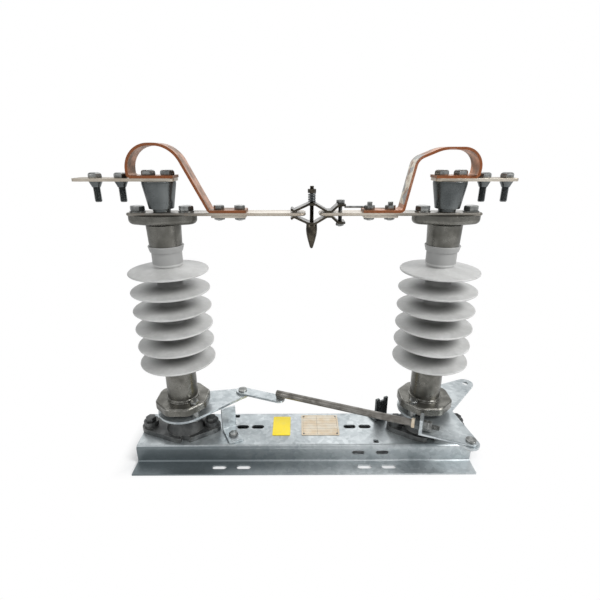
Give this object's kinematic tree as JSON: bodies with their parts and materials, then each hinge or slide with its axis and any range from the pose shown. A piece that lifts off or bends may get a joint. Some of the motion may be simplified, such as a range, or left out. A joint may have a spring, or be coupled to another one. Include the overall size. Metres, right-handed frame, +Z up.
{
  "type": "disconnect switch",
  "caption": "Two-post centre-break disconnect switch: ribbed grey insulators turn on a channel base, linked by a rod, and part a blade contact between hinged terminals.",
  "frame": {"origin": "middle of the base's underside, midway between the two posts", "axes": "+X along the base towards the right-hand post, +Y to the back, away from the viewer of the picture, +Z up"},
  "size_m": [0.6257, 0.1908, 0.4893],
  "materials": {
    "galvanised_steel": "dull zinc-galvanised sheet",
    "dark_casting": "dark painted casting",
    "grey_casting": "satin grey casting",
    "silicone": "matte light grey silicone rubber",
    "tinned_copper": "tin-plated copper bar, lightly tarnished",
    "copper_foil": "stack of bare copper foils, reddish brown",
    "contact_bronze": "dark spring bronze",
    "zinc_bolts": "zinc-plated fasteners",
    "dark_steel": "smooth dark steel-grey",
    "link_steel": "grey-brown drawn steel tube",
    "brass_plate": "pale etched plate with plain ruled fields",
    "yellow_label": "plain yellow film"
  },
  "bodies": {
    "base": {"base_channel": "galvanised_steel", "base_bolts": "zinc_bolts", "name_plate": "brass_plate", "label_plate": "yellow_label", "left_bearing_seat": "dark_casting", "right_bearing_seat": "dark_casting", "left_stop_bracket": "galvanised_steel", "right_stop_bracket": "dark_steel"},
    "left_rotor": {"left_lever": "galvanised_steel", "left_bottom_fitting": "grey_casting", "left_flange_bolts": "zinc_bolts", "left_insulator": "silicone", "left_top_casting": "grey_casting", "left_ear_bolts": "zinc_bolts", "left_blade": "tinned_copper", "left_clamp_plate": "tinned_copper", "left_clamp_bolts": "zinc_bolts"},
    "left_terminal": {"left_cup": "dark_steel", "left_terminal_bar": "tinned_copper", "left_terminal_bolts": "zinc_bolts", "left_copper_strap": "copper_foil"},
    "right_rotor": {"right_lever": "galvanised_steel", "right_bottom_fitting": "grey_casting", "right_flange_bolts": "zinc_bolts", "right_insulator": "silicone", "right_top_casting": "grey_casting", "right_ear_bolts": "zinc_bolts", "right_blade": "tinned_copper", "right_clamp_plate": "tinned_copper", "right_clamp_bolts": "zinc_bolts", "upper_contact_finger": "contact_bronze", "lower_contact_finger": "contact_bronze", "contact_spring_bolt": "contact_bronze", "contact_spring": "dark_steel", "finger_bolt": "zinc_bolts", "retaining_rod": "zinc_bolts"},
    "right_terminal": {"right_cup": "dark_steel", "right_terminal_bar": "tinned_copper", "right_terminal_bolts": "zinc_bolts", "right_copper_strap": "copper_foil"},
    "link_rod": {"left_link_strap": "galvanised_steel", "link_tube": "link_steel", "right_link_bracket": "galvanised_steel", "link_threaded_end": "zinc_bolts", "link_pins": "zinc_bolts"}
  },
  "joints": [
    {"name": "right_post_turn", "type": "hinge", "parent": "base", "child": "right_rotor", "pos_m": [0.2, 0, 0.06], "axis": [0, 0, -1], "range_deg": [0, 90]},
    {"name": "left_post_turn", "type": "hinge", "parent": "base", "child": "left_rotor", "pos_m": [-0.2, 0, 0.06], "axis": [0, 0, 1], "range_deg": [0, 90]},
    {"name": "left_terminal_swivel", "type": "hinge", "parent": "left_rotor", "child": "left_terminal", "pos_m": [-0.2, 0, 0.412], "axis": [0, 0, -1], "range_deg": [0, 90], "deforming": ["left_copper_strap"]},
    {"name": "right_terminal_swivel", "type": "hinge", "parent": "right_rotor", "child": "right_terminal", "pos_m": [0.2, 0, 0.412], "axis": [0, 0, 1], "range_deg": [0, 90], "deforming": ["right_copper_strap"]},
    {"name": "link_pivot", "type": "hinge", "parent": "right_rotor", "child": "link_rod", "pos_m": [0.24391, -0.09206, 0.0765], "axis": [0, 0, 1], "range_deg": [0, 90]}
  ],
  "couplings": [
    {"joint": "left_post_turn", "follows": "right_post_turn", "ratio": 1},
    {"joint": "left_terminal_swivel", "follows": "right_post_turn", "ratio": 1},
    {"joint": "right_terminal_swivel", "follows": "right_post_turn", "ratio": 1},
    {"joint": "link_pivot", "follows": "right_post_turn", "ratio": 1}
  ]
}
